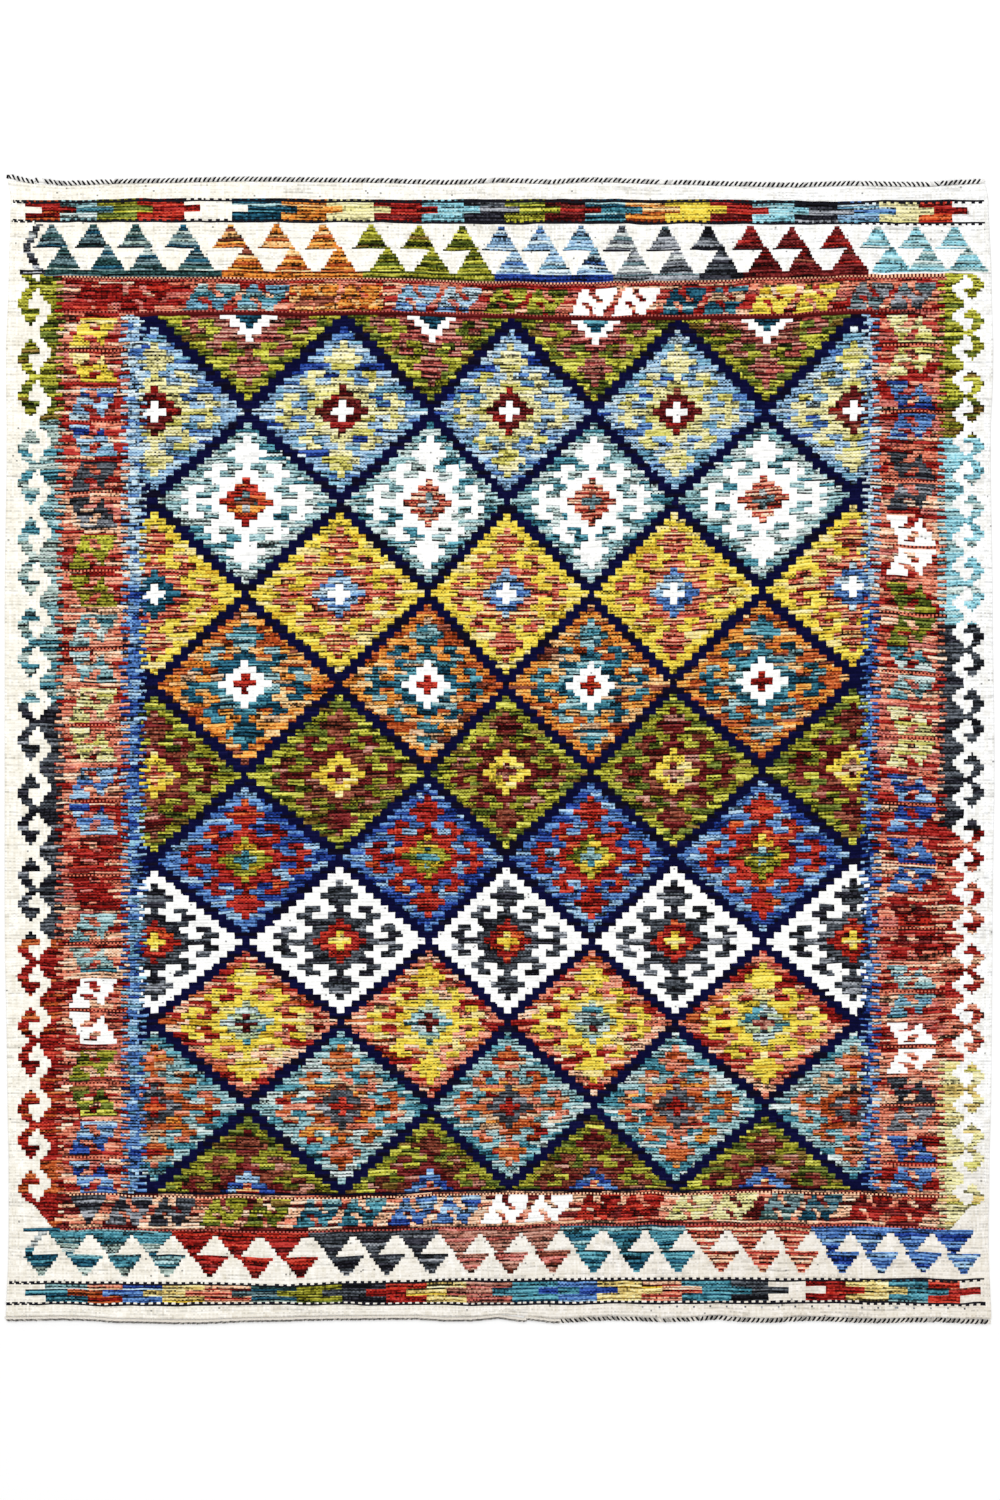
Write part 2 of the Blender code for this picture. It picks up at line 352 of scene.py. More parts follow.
# Each finish is a mix of yarns, with how many ribs in a few have each. The first is the default
MIXES = {name: dict(zip(mix[::2], mix[1::2])) for name, *mix in table("""
    ivory: ivory 1,
    undyed: cream 1,
    navy: navy 8 navy_black 2,
    olive: olive 5 moss 3 lime 3 brown_olive 1,
    olive_dark: olive 5 moss 3 lime 1 brown_olive 2,
    olive_gold: olive 5 ochre 3 golden 1 moss 1 brown 1,
    brown: brown_rose 4 maroon 3 rose 3,
    maroon_brown: maroon 5 brown 5 brown_rose 1,
    maroon_pink: maroon 2 brown_rose 2 tan 2,
    maroon_grey: maroon 4 slate 2 brown_rose 1,
    maroon: maroon 7 dark_red 2 brown 1,
    dark_teal: dark_teal 7 teal 2,
    teal_dark: dark_teal 4 teal 3 light_teal 2 tan 1,
    slate_teal: dark_teal 2 slate 4 bottle 3 sage_grey 2,
    hook_teal: sage_grey 5 light_teal 4 teal 2,
    grey_teal: slate 4 brown 2 pale_grey 1,
    light_blue: light_blue 7 pale_blue 3 sea_blue 2 mid_blue 2 deep_blue 1,
    sea_blue: light_teal 4 sea_blue 3 pale_teal 3 teal 2,
    mid_blue: mid_blue 6 light_blue 3 deep_blue 3,
    blue: light_blue 5 mid_blue 4 pale_blue 1,
    deep_blue: deep_blue 3 mid_blue 4 light_blue 2,
    pale_strip: light_blue 5 pale_blue 5 mid_blue 2,
    mid_strip: mid_blue 6 deep_blue 3 light_blue 3,
    mixed_strip: mid_blue 6 light_blue 3 sea_blue 2 deep_blue 1,
    pale_yellow: pale_yellow 8 pale_gold 2 straw 3,
    pale_gold: pale_gold 6 pale_yellow 4,
    wheat: wheat 6 sand 3 ochre 1,
    sage: sage_grey 3 pale_teal 1,
    hook_red: dark_red 5 salmon 5 peach 1,
    hook_gold: pale_yellow 4 pale_gold 4 wheat 2 straw 1,
    deep_charcoal: charcoal 7 black 4,
    golden: golden 9 ochre 1 sand 2,
    red_orange: red_orange 4 red 4 dark_red 2 orange 1,
    red: red 5 dark_red 5 red_orange 1,
    dark_red: dark_red 7 maroon 2 red 2,
    red_salmon: red 4 salmon 3 dark_red 3,
    salmon: salmon 4 dark_red 3 pale_orange 3,
    salmon_brick: salmon 5 peach 2 dark_red 3 rust 1,
    salmon_stripes: salmon 4 dark_red 4 peach 2,
    orange: orange 5 pale_orange 2 rust 3 brown 1,
    clear_orange: orange 6 pale_orange 2 rust 1,
    rust: rust 4 salmon 3 tan 2 dark_red 1 orange 1,
    rust_red: dark_red 6 rust 3 red 1,
    brown_rose: brown_rose 5 brown 2 rose 3,
    teal: teal 5 dark_teal 3 light_teal 2,
    teal_light: light_teal 4 teal 2 olive 2,
    sage_teal: sage 4 light_teal 2 pale_teal 3 teal 1,
    pale_teal: pale_teal 5 light_teal 5 teal 2,
    aqua: light_teal 5 pale_teal 3 teal 4,
    cyan: cyan 6 pale_teal 2 light_teal 2,
    grey: grey 5 slate 2 pale_grey 2 charcoal 2,
    pale_grey: pale_grey 3 grey 1,
    dark_grey: charcoal 5 grey 2 brown 2,
    charcoal: charcoal 6 grey 2 black 3,
    red_ground: salmon 5 dark_red 5 rose 2 peach 2,
    salmon_ground: salmon 7 peach 4 dark_red 4 rose 1,
    peach_ground: peach 6 salmon 4 maroon 3,
    orange_ground: salmon 3 pale_orange 4 orange 3 red 2,
    pink_bead: rose 1 peach 1,
    red_bead: salmon 1,
    dark_bead: maroon 1,
    black_bead: black 1,
    dark_line: navy_black 3 maroon 1
""")}
MIX_NAMES = list(MIXES)
# Finishes whose yarn changes from pick to pick: every third pick has the middle yarn of the mix,
# and each other one the first yarn or the last
STRIPED = ("salmon_stripes", "salmon", "brown")
STRIPE_ROWS = 3
STRIPE_PICKS = (0.6, 0.2, 0.7)
# How strongly light and shade play on the ribs of a finish; 1 where it isn't given
PLAY = dict(
    ivory=0.08, undyed=0.13, navy=0.2, pale_gold=0.6, pale_grey=0.6, golden=0.7, pale_yellow=0.85,
    hook_gold=0.7, cyan=0.8, pink_bead=0.2, red_bead=0.2, dark_bead=0.2, black_bead=0.1,
    dark_line=0.3,
)
# Undyed wool is whiter at the right and greyer at the bottom: from where, and over how far
WHITER = (200, 600)
GREYER = (1080, 200)
GREY_AT_LEFT = 0.35
# How far its colour strays, in patches, in slivers of warp and from cell to cell
MOTTLE = (30, 34, 44)

# Light and shade along a pick of yarn: up to which chance, and how light it is there
SHADES = ((0.16, 1.66), (0.38, 1.26), (0.66, 1.0), (0.84, 0.82), (0.94, 0.60), (1.01, 0.40))
RIB_PLAY, PICK_PLAY, CELL_PLAY = 0.9, 0.75, 0.95
STRETCH, STRETCH_MORE, STRETCH_SLIP = 16, 34, 60
# Painted highlight on the upper pick of each rib, and painted shade on the lower one
LIT_UPPER_SHADED_LOWER_PICKS = (0.34, -0.20)
# Painted light and shade of the beads: the size of their patches, from which chance and how fast
# they show, and how strong
BEAD_PATCH, BEAD_FROM, BEAD_RISE, BEAD_LIGHT_AND_SHADE = (22, 8), 0.50, 4, 0.13
# Shade along the lower edge of each colour: how much of it, how dark, and how deep its crease
LOWER_SHARE, LOWER_SHADE, LOWER_CREASE = 0.75, 0.66, 1.3
SPECK_SHARE, SPECK_SHADE = 0.003, 0.62
DARKEST = 0.1
# How far light takes a yarn towards white: a dark one, and how much more a light one
LIGHT_ON_DARK, LIGHT_ON_PALE = 0.15, 0.75

# Every number that looks random comes from chance(), which keeps no state. The last key of a
# call, and the numbers that make up a zone, only set one use apart from another.
HASH = (12.9898, 47.233, 0.731, 43758.5453)


def chance(*keys):
    """A number from 0 to 1 that looks random and is always the same for the same keys."""
    first, step, shift, scale = HASH
    total = 0.0
    for place, key in enumerate(keys):
        total = total + np.asarray(key, dtype=float) * (first + step * place) + shift * place
    return np.modf(np.abs(np.sin(total)) * scale)[0]


def slow_chance(x, y, wide, tall, key):
    """Chance that changes smoothly, over so many units across and down."""
    across, down = x / wide, y / tall
    i, j = np.floor(across), np.floor(down)
    s, t = across - i, down - j
    s, t = s * s * (3 - 2 * s), t * t * (3 - 2 * t)
    near = chance(i, j, key) * (1 - s) + chance(i + 1, j, key) * s
    far = chance(i, j + 1, key) * (1 - s) + chance(i + 1, j + 1, key) * s
    return near * (1 - t) + far * t


def within(values, low, high):
    return (values >= low) & (values < high)


def bands(start, stops):
    """The number, start, stop and colour of each band of a row or column."""
    for number, (stop, name) in enumerate(stops):
        yield number, start, stop, name
        start = stop


def lattice(nodes, blocks):
    """Places and block numbers of the lattice's crossings, run on past both ends."""
    first = nodes[0] - (nodes[1] - nodes[0])
    last = nodes[-1] + (nodes[-1] - nodes[-2])
    places = np.array((first, *nodes, last), dtype=float)
    return places, blocks * np.arange(-1, len(nodes) + 1)


def cell_edges(before, u, nodes, blocks, after):
    """Edges of the cells along one axis: the field's, and even stretches of them on both sides."""
    field = np.interp(u, *lattice(nodes, blocks)[::-1])
    stops = [start for start, _ in before[1:]] + [field[0]]
    edges = [np.linspace(start, stop, count, endpoint=False)
             for (start, count), stop in zip(before, stops)]
    edges.append(field)
    for stop, count in after:
        edges.append(np.linspace(edges[-1][-1], stop, count + 1)[1:])
    return np.concatenate(edges)


def grid():
    """Edges of the columns and rows of cells on the chart."""
    across = BLOCKS_ACROSS * (len(NODE_X) - 1) + 2 * FIELD_OVERHANG
    u = np.linspace(-FIELD_OVERHANG, across - FIELD_OVERHANG, int(across * CELLS_PER_BLOCK) + 1)
    down = BLOCKS_DOWN * (len(NODE_Y) - 1)
    v = np.linspace(0, down, int(down * CELLS_PER_BLOCK) + 1)
    return (cell_edges(LEFT_CELLS, u, NODE_X, BLOCKS_ACROSS, RIGHT_CELLS),
            cell_edges(TOP_CELLS, v, NODE_Y, BLOCKS_DOWN, BOTTOM_CELLS))


# The cells: their places on the chart, their columns and rows, and their ribs of two picks
XS, YS = grid()
MIDDLES = [(edges[1:] + edges[:-1]) / 2 for edges in (XS, YS)]
X, Y = np.meshgrid(*MIDDLES)
COLUMN, ROW = np.meshgrid(*(np.arange(len(line)) for line in MIDDLES))
RIB = ROW // 2
# What weave() gives each of them: a finish, and a zone. Cells of one zone share their chances, so
# they look like one butt of yarn
MIX = np.full(X.shape, MIX_NAMES.index("undyed"))
ZONE = np.zeros(X.shape)


def paint(mask, name, zone=0):
    MIX[mask] = MIX_NAMES.index(name)
    ZONE[mask] = zone if np.isscalar(zone) else zone[mask]


def segments(length, key):
    """Numbers for stretches of a long area, whose ends differ from rib to rib."""
    return np.floor((X + chance(RIB, key) * length) / length)


def comb(base, reach, key):
    """An edge where two colours reach into each other, a rib at a time."""
    side = np.where(RIB % 2 == 0, 1.0, -1.0)
    return base + side * reach / 2 + (chance(RIB, key) - 0.5) * reach * 0.5


def paint_field():
    u = np.interp(X, *lattice(NODE_X, BLOCKS_ACROSS))
    v = np.interp(Y, *lattice(NODE_Y, BLOCKS_DOWN))
    edge = comb(0, FIELD_COMB, 41)
    last = BLOCKS_ACROSS * (len(NODE_X) - 1)
    inside = (v >= 0) & (v <= BLOCKS_DOWN * (len(NODE_Y) - 1))
    inside &= (u >= edge - FIELD_OVERHANG) & (u <= last + FIELD_OVERHANG + edge)
    paint(inside, "navy", segments(NAVY_LENGTH, 3))
    # No block's edge is quite straight
    sway = (chance(RIB, np.floor(u), 91) - 0.5) * EDGE_WOBBLE
    dip = (chance(COLUMN // EDGE_COLUMNS, np.floor(v), 93) - 0.5) * EDGE_WOBBLE
    across, down = np.floor(u + 0.5 + sway), np.floor(v + 0.5 + dip)
    quarter = np.array([list(line.ljust(DIAMOND_REACH + 1)) for line in QUARTER])
    for b, colours in enumerate(DIAMOND_ROWS):
        for a in range(1 - b % 2, len(NODE_X), 2):
            du, dv = np.abs(across - BLOCKS_ACROSS * a), np.abs(down - BLOCKS_DOWN * b)
            mine = inside & (du + dv <= DIAMOND_REACH)
            part = quarter[tuple(np.minimum(d, DIAMOND_REACH).astype(int) for d in (dv, du))]
            run = np.floor((u + RUN_BLOCKS * chance(RIB, a, 4)) / RUN_BLOCKS)
            for number, (letter, name) in enumerate(zip("ABCD", colours)):
                zone = 17 * (a + 9 * b) + 3 * number + 0.37 * run
                name = ODD_PARTS.get((b, a, letter), name)
                paint(mine & (part == letter), name, zone)


def stencil(chart, along, down):
    """Whether the chart is inked at each place; along and down run from 0 to 1 over it."""
    inked = np.array([[mark != "." for mark in line] for line in chart])
    tall, wide = inked.shape
    line, spot = np.floor(down * tall).astype(int), np.floor(along * wide).astype(int)
    on = within(line, 0, tall) & within(spot, 0, wide)
    return on & inked[np.clip(line, 0, tall - 1), np.clip(spot, 0, wide - 1)]


def twined_rows(top, x0, x1, rows):
    """The number and the cells of each row of a twined line."""
    line = np.searchsorted(YS, top) - 1
    for k in range(rows):
        yield k, (ROW == line + k) & within(X, x0, x1)


def paint_beads(top, x0, x1, rows, light="pink_bead"):
    """A twined line seen as beads: two yarns by turns over the warps."""
    for k, here in twined_rows(top, x0, x1, rows):
        odd = (COLUMN + k) % 2 == 1
        paint(here & odd, "dark_bead", top)
        paint(here & ~odd, light, top)


def paint_rope(top, x0, x1):
    """A twined line seen as a rope: dark dashes that slope one way at the left, then the other."""
    falling = X < ROPE_TURN
    beat = COLUMN + (chance(COLUMN // ROPE_RUN, top) * ROPE_SLIPS).astype(int)
    free = (X < ROPE_ENDS[0]) | (X > ROPE_ENDS[1])
    for k, here in twined_rows(top, x0, x1, 2):
        start = np.where(falling, k, 1 - k)
        dash = (beat - start) % ROPE_BEAT < np.where(free, FREE_DASH, ROPE_DASH)
        paint(here & (dash | (start == 1) & ~free), "black_bead", top)


def paint_side_motifs(motifs, x0, x1, turned):
    """Pairs of motifs down a side border, and the twined line between the two of a pair."""
    along = (X - x0) / (x1 - x0)
    for number, (start, stop, name) in enumerate(motifs):
        tall = (stop - start - MOTIF_GAP) / 2
        for half in range(2):
            down = (Y - (start + half * (tall + MOTIF_GAP))) / tall
            inked = stencil(SIDE_MOTIF, along, 1 - down if (half == 1) != turned else down)
            paint(inked, name, 500 + number * 5 + half + (300 if turned else 0))
        top = start + tall + MOTIF_GAP * GAP_SHARE
        paint_beads(top, x0 - BEADS_LEFT, x1 + BEADS_RIGHT, 1, "red_bead")


def paint_end_motifs(motifs, y0, y1):
    down = (Y - y0) / (y1 - y0)
    for number, (start, stop, name) in enumerate(motifs):
        pitch = (stop - start - END_MOTIF_LEAN) / 2
        for half in range(2):
            along = (X - start - half * pitch) / (pitch + END_MOTIF_LEAN)
            zone = 900 + number * 5 + half + (100 if motifs is BOTTOM_MOTIFS else 0)
            paint(stencil(END_MOTIF, along, down), name, zone)


def paint_hooks(stems, outer, inner, colours):
    """The column of hooks down a side: the chart runs from each stem to halfway to the next."""
    stems = np.array(stems, dtype=float)
    nearest = np.searchsorted((stems[1:] + stems[:-1]) / 2, Y)
    here = stems[nearest]
    after = stems[np.minimum(nearest + 1, len(stems) - 1)]
    before = stems[np.maximum(nearest - 1, 0)]
    half = np.where(Y >= here, after - here, here - before) / 2
    down = np.abs(Y - here) / np.maximum(half, 1)
    along = (X - outer) / (inner - outer)
    along = np.where(within(along, 1, HOOK_OVERRUN), 0.99, along)
    inked = stencil(HOOK, along, down) & (Y > HOOKS_TOP)
    # The last one ends in a slope
    slope = (Y - LAST_STEM) / (HOOKS_BOTTOM - LAST_STEM)
    tail = (along > SLOPE_START + slope * SLOPE_REACH) & (along < 1)
    inked = np.where(slope > 0, tail, inked) & (slope < 1)
    for _, low, stop, name in bands(HOOKS_TOP, colours):
        paint(inked & within(Y, low, stop), name, 1200 + stop + nearest * 3)


def paint_bars(bars, top, bottom, slip):
    """A row of bars whose middle third has slipped along."""
    line = np.floor((Y - top) / (bottom - top) * 3)
    x = X - np.where(line == 1, slip, 0.0)
    for number, start, stop, name in bands(0, bars):
        here = within(Y, top, bottom) & within(x, start, stop)
        paint(here, name, 1500 + number * 3 + line)


def paint_triangles(groups, base_y, tip_y, width, steps, key):
    """A row of stepped triangles: each step narrower than the one nearer the base."""
    share = (Y - base_y) / (tip_y - base_y)
    half = np.maximum(width / 2 * (1 - np.floor(share * steps) / steps), TIP_HALF) + STEP_SPARE
    for name, *tips in groups:
        for tip in tips:
            here = within(share, 0, 1) & (np.abs(X - tip) < half)
            paint(here, name, key + tip + RIB * 1.7)


def paint_base_lines(groups, y, width):
    """The dark line under each upper triangle, which runs on a little at its left."""
    for name, *tips in groups:
        dark = "black_bead" if name in DARK_LINED else name
        for tip in tips:
            left, right = tip - width / 2 - LINE_OUT, tip + width / 2 - LINE_IN
            paint_box(left, y - LINE_HEIGHT, right, y, dark, y + tip)


def paint_strip(groups, y0, y1, key):
    """The strip that joins the bases of a row of triangles, in their colours."""
    ends = [groups[0][1] - BASE_STRIP_END]
    ends += [(near[-1] + far[1]) / 2 for near, far in zip(groups, groups[1:])]
    ends += [groups[-1][-1] + BASE_STRIP_END]
    for number, (name, *_) in enumerate(groups):
        paint_box(ends[number], y0, ends[number + 1], y1, name, key + number)


def paint_stem(corners, half, name, key):
    """A stepped stem that runs down from corner to corner."""
    level = (np.floor(Y / STEM_STEP) + 0.5) * STEM_STEP
    xs, ys = zip(*corners)
    here = within(Y, ys[0], ys[-1]) & (np.abs(X - np.interp(level, ys, xs)) < half)
    paint(here, name, key + level)


def paint_box(x0, y0, x1, y1, name, zone=0):
    paint(within(X, x0, x1) & within(Y, y0, y1), name, zone)


def paint_by_height(mask, top, stops, zone):
    """Paints an area that changes its finish down the rug."""
    for _, start, stop, name in bands(top, stops):
        paint(mask & within(Y, start, stop), name, zone)


def weave():
    for column in HOOK_COLUMNS:
        paint_hooks(*column)

    # Blue strips beside the field, and the red borders all round
    left, middle, right = STRIP_COLUMNS
    for low, high, stops, key in ((left, middle, LEFT_STRIP, 6), (middle, right, RIGHT_STRIP, 7)):
        zone = segments(STRIP_LENGTH, key)
        paint_by_height(within(X, low, high), STRIP_TOP, stops, zone)
    length, tall, step = GROUND_PATCH
    ground = segments(length, 5) + step * np.floor(Y / tall)
    edges = [comb(*edge) for edge in GROUND_EDGES]
    paint_by_height(within(X, *edges[:2]), GROUND_TOP, LEFT_GROUND, ground)
    paint_by_height(within(X, *edges[2:]), GROUND_TOP, RIGHT_GROUND, ground)
    between = within(X, edges[0], edges[-1])
    top, bottom = within(Y, *TOP_GROUND_ROWS), within(Y, *BOTTOM_GROUND_ROWS)
    paint(top & between, "red_ground", ground)
    paint(top & within(X, *ORANGE_COLUMNS), "orange_ground", ground)
    paint(bottom & between, "peach_ground", ground)

    paint_field()
    for border in SIDE_BORDERS:
        paint_side_motifs(*border)
    for border in END_BORDERS:
        paint_end_motifs(*border)
    paint_bars(TOP_BARS, *TOP_BARS_ROW)
    *row, slip = BOTTOM_BARS_ROW
    paint_bars(BOTTOM_BARS, *row, np.where(X < BOTTOM_SLIP_TURN, -slip, slip))
    for row in TRIANGLE_ROWS:
        paint_triangles(*row)
        if row[0] is TOP_UPPER_TRIANGLES:
            paint_base_lines(row[0], row[1], row[3])
    teal = (MIX == MIX_NAMES.index("teal")) & (X < SAGE_REACH)
    for top, bottom, zone in SAGE_ROWS:
        paint(teal & within(Y, top, bottom), "sage", zone + RIB)
    for painter, places in ((paint_strip, BASE_STRIPS), (paint_stem, STEMS), (paint_rope, ROPES),
                            (paint_beads, BEAD_LINES), (paint_box, BOXES)):
        for place in places:
            painter(*place)
    wide, top, bottom = SPECK_SIZE
    for speck in range(*SPECK_LINE):
        paint_box(speck, top, speck + wide, bottom, "grey")


def yarn_colours():
    """The yarn in each cell, and how strongly light and shade play on it."""
    most = max(len(parts) for parts in MIXES.values())
    limits = np.full((len(MIXES), most), 2.0)
    colours = np.zeros((len(MIXES), most, 3))
    for number, parts in enumerate(MIXES.values()):
        shares = np.array(list(parts.values())) / sum(parts.values())
        limits[number, : len(parts) - 1] = np.cumsum(shares)[:-1]
        colours[number, : len(parts)] = [YARNS[yarn] for yarn in parts]
    # Two ribs in a pair often have the same yarn
    pair = RIB // 2
    steady = chance(ZONE, pair, 5) < 0.5
    pick = np.where(steady, chance(ZONE, pair, 7), chance(ZONE, RIB, 9))
    striped = np.isin(MIX, [MIX_NAMES.index(name) for name in STRIPED])
    middle, low, more = STRIPE_PICKS
    other = low + more * (chance(ZONE, RIB, 11) > 0.6)
    pick = np.where(striped, np.where(ROW % STRIPE_ROWS == 0, middle, other), pick)
    choice = (pick[..., None] > limits[MIX]).sum(axis=-1)
    play = np.array([PLAY.get(name, 1.0) for name in MIX_NAMES])
    return colours[MIX, choice], play[MIX]


def undyed_colours():
    cream, white, oatmeal = (np.array(YARNS[name], float) for name in ("cream", "ivory", "oatmeal"))
    right = np.clip((X - WHITER[0]) / WHITER[1], 0, 1)[..., None]
    low = np.clip((Y - GREYER[0]) / GREYER[1], 0, 1)[..., None]
    high = cream + (white - cream) * right
    plain = high + (oatmeal - high) * low * (GREY_AT_LEFT + (1 - GREY_AT_LEFT) * right)
    mottle = (0.5 * slow_chance(X, Y, 7, 5, 101) + 0.3 * chance(ROW, COLUMN, 103)
              + 0.4 * chance(COLUMN, np.floor(Y / 16), 105) - 0.6)
    return plain + mottle[..., None] * MOTTLE


def tones():
    """Each cell's colour, with the light and shade on its picks, and how strongly they play."""
    rgb, play = yarn_colours()
    undyed = MIX == MIX_NAMES.index("undyed")
    rgb = np.where(undyed[..., None], undyed_colours(), rgb)

    # Each rib is lighter or darker for a stretch at a time, and so, less, is each pick
    limits, shades = (np.array(line) for line in zip(*SHADES))
    level = 1 + 0 * X
    for lines, key, most in ((RIB, 23, RIB_PLAY), (ROW, 43, PICK_PLAY)):
        length = STRETCH + STRETCH_MORE * chance(lines, key)
        stretch = np.floor((X + STRETCH_SLIP * chance(lines, key + 1)) / length)
        shade = shades[np.searchsorted(limits, chance(lines, stretch, ZONE, key + 2))]
        level = level + (shade - 1) * most
    # Painted light from above: the upper pick of each rib lighter, the lower one darker
    level = level + np.where(ROW % 2 == 0, *LIT_UPPER_SHADED_LOWER_PICKS)
    # Here and there each pick shows as separate beads over the warps: painted light and shade on
    # alternate cells
    patch = slow_chance(X, Y, *BEAD_PATCH, 63)
    beaded = np.clip((patch - BEAD_FROM) * BEAD_RISE, 0, 1)
    level = level + beaded * BEAD_LIGHT_AND_SHADE * np.where((COLUMN + ROW) % 2 == 0, 1, -1)
    level = level + (chance(ROW, COLUMN, 17) - 0.5) * CELL_PLAY
    ends = np.zeros(MIX.shape, dtype=bool)
    ends[:-1] = MIX[1:] != MIX[:-1]
    shaded = ends & (chance(ROW, ZONE, 67) < LOWER_SHARE)
    level = np.where(shaded, level * LOWER_SHADE, level)
    level = 1 + (level - 1) * play
    plain = undyed | (MIX == MIX_NAMES.index("ivory"))
    speck = plain & (chance(ROW, COLUMN, 97) < SPECK_SHARE)
    level = np.where(speck, SPECK_SHADE, level)

    light = np.clip(level - 1, 0, 1)[..., None]
    rgb = rgb * np.clip(level, DARKEST, 1)[..., None]
    rgb = rgb + (255 - rgb) * (LIGHT_ON_DARK + LIGHT_ON_PALE * rgb / 255) * light
    return np.clip(rgb, 0, 255), play * np.where(ends, LOWER_CREASE, 1.0)


# ---------------------------------------------------------------- The cloth as a mesh
CLOTH_THICKNESS = 3.0 * MM
EDGE_HEIGHT = 0.3 * MM
EDGE_ROUND = 0.8 * MM
WARP_RIDGE = 0.30 * MM
PICK_DIP = 0.10 * MM
RIB_DIP = 0.30 * MM
RIB_RUN = 6
TWINE_RISE = 0.7 * MM
TWINE_BEAD = 0.12 * MM
TWINE_REACH = 2.2
TWINE_LINES = (199.5, 221, 279.5, 315.5, 1194, 1228.5, 1281.5, 1303.5)
# Slow unevenness of the height, and the lengths of its four waves
PUCKER = 0.25 * MM
PUCKER_WAVES = (37, 83, 29, 61)
# Waves in the picks: how wide and tall they are and how far they move a pick, in chart units
SIDE_WAVE = (9.0, 5.0, 0.5)
PICK_WAVES = ((34.0, 26.0, 1.0), (13.0, 6.0, 0.5))
WAVE_FADE = 12.0
STRIPS = 4
UNDER_COLUMNS = 200
UNDER_ROWS = 250
# How close to its outermost place a corner of the solid counts as its edge
RIM_REACH = 14 * MM
# Outermost places of the cloth on the chart
CHART_LEFT, CHART_RIGHT = 5.0, 994.0
CHART_TOP, CHART_BOTTOM = 180.7, 1319.3


def solid_points(node):
    """The corners of a solid of the frame."""
    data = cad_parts[node].data
    points = np.empty(len(data.vertices) * 3)
    data.vertices.foreach_get("co", points)
    return points.reshape(-1, 3)


def outline():
    """The edges of the cloth's solid: left and right along it, top and bottom across it."""
    points = solid_points("kilim_cloth")
    low, high = points.min(axis=0), points.max(axis=0)
    found = {}
    for name, axis, side in (("left", 0, low), ("right", 0, high), ("bottom", 1, low),
                             ("top", 1, high)):
        rim = points[abs(points[:, axis] - side[axis]) < RIM_REACH]
        rim = rim[np.argsort(rim[:, 1 - axis])]
        found[name] = (rim[:, 1 - axis], rim[:, axis])
    return found


def find_shift():
    """How far the frame's middle is from the chart's, from the cloth's widest places."""
    left, right = EDGES["left"][1].min(), EDGES["right"][1].max()
    bottom, top = EDGES["bottom"][1].min(), EDGES["top"][1].max()
    chart_x = ((CHART_LEFT + CHART_RIGHT) / 2 - CHART_MIDDLE[0]) * UNIT
    chart_y = (CHART_MIDDLE[1] - (CHART_TOP + CHART_BOTTOM) / 2) * UNIT
    return (left + right) / 2 - chart_x, (bottom + top) / 2 - chart_y


EDGES = outline()
SHIFT = find_shift()


def edge_at(name, places):
    return np.interp(places, *EDGES[name])


def chart_to_world(x, y):
    """Places on the chart as places in the frame, where the rug's box is over the origin."""
    return (x - CHART_MIDDLE[0]) * UNIT + SHIFT[0], (CHART_MIDDLE[1] - y) * UNIT + SHIFT[1]


def cloth_points():
    """The corners of the cells as places in the frame, from above."""
    flat_x, flat_y = chart_to_world(XS, YS)
    grid_x, grid_y = np.meshgrid(flat_x, flat_y)
    heights = [YS[0], *(row[0] for row in WANDER_ROWS), YS[-1]]
    offsets = [edge_at("top", flat_x) - flat_y[0]]
    offsets += [-UNIT * np.interp(XS, WANDER_X, row[1:]) for row in WANDER_ROWS]
    offsets += [edge_at("bottom", flat_x) - flat_y[-1]]
    for i, offset in enumerate(np.array(offsets).T):
        grid_y[:, i] += np.interp(YS, heights, offset)
    x, y = np.meshgrid(XS, YS)
    inside = np.minimum(np.minimum(x - XS[0], XS[-1] - x), np.minimum(y - YS[0], YS[-1] - y))
    fade = np.clip(inside / WAVE_FADE, 0, 1) * UNIT
    for number, (wide, tall, reach) in enumerate(PICK_WAVES):
        grid_y += (slow_chance(x, y, wide, tall, 81 + number) * 2 - 1) * reach * fade
    wide, tall, reach = SIDE_WAVE
    sway = (slow_chance(x, y, wide, tall, 85) * 2 - 1) * reach * fade
    sway += np.interp(y, *zip(*DRIFT)) * np.interp(x, *zip(*DRIFT_REACH)) * UNIT
    stations = (XS[0], *HOOK_EDGES, XS[-1])
    inner = [chart_to_world(x, 0)[0] for x in HOOK_EDGES]
    ends = zip(edge_at("left", grid_y[:, 0]), edge_at("right", grid_y[:, -1]))
    for j, (left, right) in enumerate(ends):
        grid_x[j] = np.interp(XS, stations, (left, *inner, right))
    return grid_x + sway, grid_y


def cloth_relief():
    """Height of each corner: a ridge over each warp, dips between picks, raised twined rows."""
    i, j = np.meshgrid(np.arange(len(XS)), np.arange(len(YS)))
    over = i % 2 == 1
    bead = (j + i // 2) % 2 == 0
    z = np.where(over, WARP_RIDGE, 0.0) - np.where(over & ~bead, PICK_DIP, 0.0)
    z -= np.where(j % 2 == 0, RIB_DIP, 0.0) * (0.5 + chance(j, i // RIB_RUN, 51))
    x, y = XS[None, :], YS[:, None]
    a, b, c, d = PUCKER_WAVES
    z += PUCKER * (np.sin(x / a + 2 * np.sin(y / b)) * np.sin(y / c + np.sin(x / d)))
    for line in TWINE_LINES:
        near = np.clip(1 - np.abs(YS - line) / TWINE_REACH, 0, 1)[:, None]
        z += near * (TWINE_RISE + TWINE_BEAD * np.where((i + j) % 2 == 0, 1, -1))
    return CLOTH_THICKNESS + z


def with_rim(points):
    """The corners with a rim all round, straight below the edge, which is lowered a little."""
    wide = np.pad(points, ((1, 1), (1, 1), (0, 0)), mode="edge")
    for side in (wide[0], wide[-1], wide[:, 0], wide[:, -1]):
        side[..., 2] = EDGE_HEIGHT
    for side in (wide[1, 1:-1], wide[-2, 1:-1], wide[1:-1, 1], wide[1:-1, -2]):
        side[..., 2] -= EDGE_ROUND
    return wide


def link(name, data):
    made = bpy.data.objects.new(name, data)
    bpy.context.scene.collection.objects.link(made)
    return made


